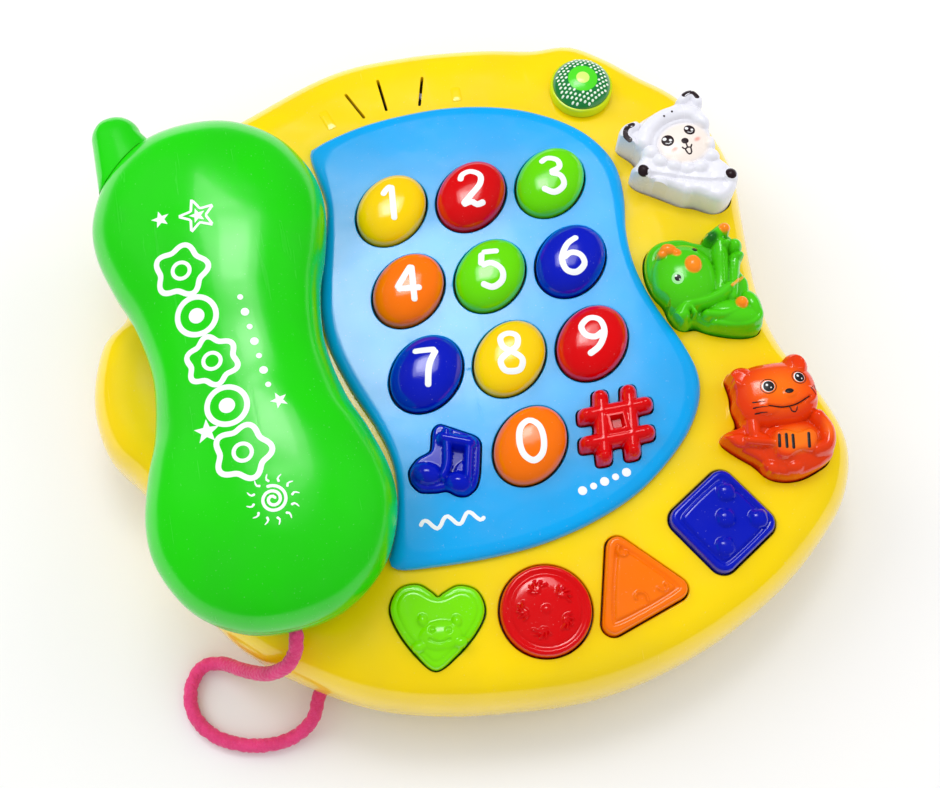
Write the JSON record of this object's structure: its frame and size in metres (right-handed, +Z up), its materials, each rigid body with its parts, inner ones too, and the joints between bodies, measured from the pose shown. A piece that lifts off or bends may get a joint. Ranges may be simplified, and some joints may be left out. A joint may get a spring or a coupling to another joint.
{
  "type": "toy telephone",
  "caption": "Toy desk telephone: a rounded base with a domed egg-key keypad, animal and shape push buttons, and a lift-off peanut-shaped handset on a cord.",
  "frame": {"origin": "centre of the base's and handset's bounding box, on the plane of the four feet", "axes": "+X to the right along the key rows, +Y away from the user, +Z up out of the keys"},
  "size_m": [0.22, 0.2164, 0.0666],
  "materials": {
    "body_yellow": "glossy moulded ABS, saturated yellow",
    "panel_blue": "glossy moulded ABS, sky blue",
    "key_yellow": "glossy moulded ABS, yellow",
    "key_red": "glossy moulded ABS, red",
    "key_green": "glossy moulded ABS, green",
    "key_lime": "glossy moulded ABS, lime",
    "key_orange": "glossy moulded ABS, orange",
    "key_blue": "glossy moulded ABS, deep blue",
    "figure_white": "semi-gloss moulded ABS, warm white, with printed face",
    "figure_green": "semi-gloss moulded ABS, green, with printed face",
    "figure_orange": "semi-gloss moulded ABS, orange, with printed face",
    "handset_green": "high-gloss moulded ABS, bright green, with white print",
    "cord_pink": "braided polyester cord, pink",
    "board_green": "printed circuit board with green solder mask",
    "epoxy_black": "black epoxy blob over a bonded chip",
    "silicone_grey": "moulded silicone sheet with domes",
    "lens_green": "clear moulded plastic, green-yellow tint, faceted",
    "led_epoxy": "clear epoxy",
    "zinc_steel": "zinc-plated sheet steel or wire",
    "screw_steel": "zinc-plated self-tapping screw",
    "ferrite": "dark ferrite magnet",
    "paper_cone": "pressed paper cone with a dust cap",
    "cell_jacket": "printed metal jacket of a dry cell"
  },
  "bodies": {
    "base": {"base_top_shell": "body_yellow", "base_bottom_shell": "body_yellow", "battery_door": "body_yellow", "keypad_panel": "panel_blue", "cord": "cord_pink", "cord_knot_base": "cord_pink", "circuit_board": "board_green", "sound_chip": "epoxy_black", "key_mat": "silicone_grey", "light_lens": "lens_green", "light_led": "led_epoxy", "speaker_frame": "zinc_steel", "speaker_magnet": "ferrite", "speaker_cone": "paper_cone", "battery_cell_1": "cell_jacket", "battery_plate_1": "zinc_steel", "battery_spring_1": "zinc_steel", "battery_cell_2": "cell_jacket", "battery_plate_2": "zinc_steel", "battery_spring_2": "zinc_steel", "battery_cell_3": "cell_jacket", "battery_plate_3": "zinc_steel", "battery_spring_3": "zinc_steel", "base_screw_1": "screw_steel", "base_screw_2": "screw_steel", "base_screw_3": "screw_steel", "base_screw_4": "screw_steel", "base_screw_5": "screw_steel", "base_screw_6": "screw_steel", "battery_door_screw": "screw_steel"},
    "handset": {"handset_top_shell": "handset_green", "handset_bottom_shell": "handset_green", "handset_antenna": "handset_green", "handset_screw_1": "screw_steel", "handset_screw_2": "screw_steel", "cord_knot_handset": "cord_pink"},
    "key_1": {"key_1": "key_yellow"},
    "key_2": {"key_2": "key_red"},
    "key_3": {"key_3": "key_green"},
    "key_4": {"key_4": "key_orange"},
    "key_5": {"key_5": "key_green"},
    "key_6": {"key_6": "key_blue"},
    "key_7": {"key_7": "key_blue"},
    "key_8": {"key_8": "key_yellow"},
    "key_9": {"key_9": "key_red"},
    "key_0": {"key_0": "key_orange"},
    "key_note": {"key_note": "key_blue"},
    "key_hash": {"key_hash": "key_red"},
    "button_heart": {"button_heart": "key_lime"},
    "button_circle": {"button_circle": "key_red"},
    "button_triangle": {"button_triangle": "key_orange"},
    "button_square": {"button_square": "key_blue"},
    "button_lamb": {"button_lamb": "figure_white"},
    "button_dragon": {"button_dragon": "figure_green"},
    "button_cat": {"button_cat": "figure_orange"}
  },
  "joints": [
    {"name": "handset_lift", "type": "slide", "parent": "base", "child": "handset", "axis": [0, 0, 1], "range_m": [0, 0.05], "deforming": ["cord"]},
    {"name": "key_1_press", "type": "slide", "parent": "base", "child": "key_1", "axis": [0, 0, 1], "range_m": [-0.0025, 0], "stiffness_N_per_m": 300, "springref_m": 0.001, "deforming": ["key_mat"]},
    {"name": "key_2_press", "type": "slide", "parent": "base", "child": "key_2", "axis": [0, 0, 1], "range_m": [-0.0025, 0], "stiffness_N_per_m": 300, "springref_m": 0.001},
    {"name": "key_3_press", "type": "slide", "parent": "base", "child": "key_3", "axis": [0, 0, 1], "range_m": [-0.0025, 0], "stiffness_N_per_m": 300, "springref_m": 0.001},
    {"name": "key_4_press", "type": "slide", "parent": "base", "child": "key_4", "axis": [0, 0, 1], "range_m": [-0.0025, 0], "stiffness_N_per_m": 300, "springref_m": 0.001},
    {"name": "key_5_press", "type": "slide", "parent": "base", "child": "key_5", "axis": [0, 0, 1], "range_m": [-0.0025, 0], "stiffness_N_per_m": 300, "springref_m": 0.001},
    {"name": "key_6_press", "type": "slide", "parent": "base", "child": "key_6", "axis": [0, 0, 1], "range_m": [-0.0025, 0], "stiffness_N_per_m": 300, "springref_m": 0.001},
    {"name": "key_7_press", "type": "slide", "parent": "base", "child": "key_7", "axis": [0, 0, 1], "range_m": [-0.0025, 0], "stiffness_N_per_m": 300, "springref_m": 0.001},
    {"name": "key_8_press", "type": "slide", "parent": "base", "child": "key_8", "axis": [0, 0, 1], "range_m": [-0.0025, 0], "stiffness_N_per_m": 300, "springref_m": 0.001},
    {"name": "key_9_press", "type": "slide", "parent": "base", "child": "key_9", "axis": [0, 0, 1], "range_m": [-0.0025, 0], "stiffness_N_per_m": 300, "springref_m": 0.001},
    {"name": "key_0_press", "type": "slide", "parent": "base", "child": "key_0", "axis": [0, 0, 1], "range_m": [-0.0025, 0], "stiffness_N_per_m": 300, "springref_m": 0.001},
    {"name": "key_note_press", "type": "slide", "parent": "base", "child": "key_note", "axis": [0, 0, 1], "range_m": [-0.0025, 0], "stiffness_N_per_m": 300, "springref_m": 0.001},
    {"name": "key_hash_press", "type": "slide", "parent": "base", "child": "key_hash", "axis": [0, 0, 1], "range_m": [-0.0025, 0], "stiffness_N_per_m": 300, "springref_m": 0.001},
    {"name": "button_heart_press", "type": "slide", "parent": "base", "child": "button_heart", "axis": [0, 0, 1], "range_m": [-0.0025, 0], "stiffness_N_per_m": 300, "springref_m": 0.001},
    {"name": "button_circle_press", "type": "slide", "parent": "base", "child": "button_circle", "axis": [0, 0, 1], "range_m": [-0.0025, 0], "stiffness_N_per_m": 300, "springref_m": 0.001},
    {"name": "button_triangle_press", "type": "slide", "parent": "base", "child": "button_triangle", "axis": [0, 0, 1], "range_m": [-0.0025, 0], "stiffness_N_per_m": 300, "springref_m": 0.001},
    {"name": "button_square_press", "type": "slide", "parent": "base", "child": "button_square", "axis": [0, 0, 1], "range_m": [-0.0025, 0], "stiffness_N_per_m": 300, "springref_m": 0.001},
    {"name": "button_lamb_press", "type": "slide", "parent": "base", "child": "button_lamb", "axis": [0, 0, 1], "range_m": [-0.0025, 0], "stiffness_N_per_m": 300, "springref_m": 0.001},
    {"name": "button_dragon_press", "type": "slide", "parent": "base", "child": "button_dragon", "axis": [0, 0, 1], "range_m": [-0.0025, 0], "stiffness_N_per_m": 300, "springref_m": 0.001},
    {"name": "button_cat_press", "type": "slide", "parent": "base", "child": "button_cat", "axis": [0, 0, 1], "range_m": [-0.0025, 0], "stiffness_N_per_m": 300, "springref_m": 0.001}
  ]
}
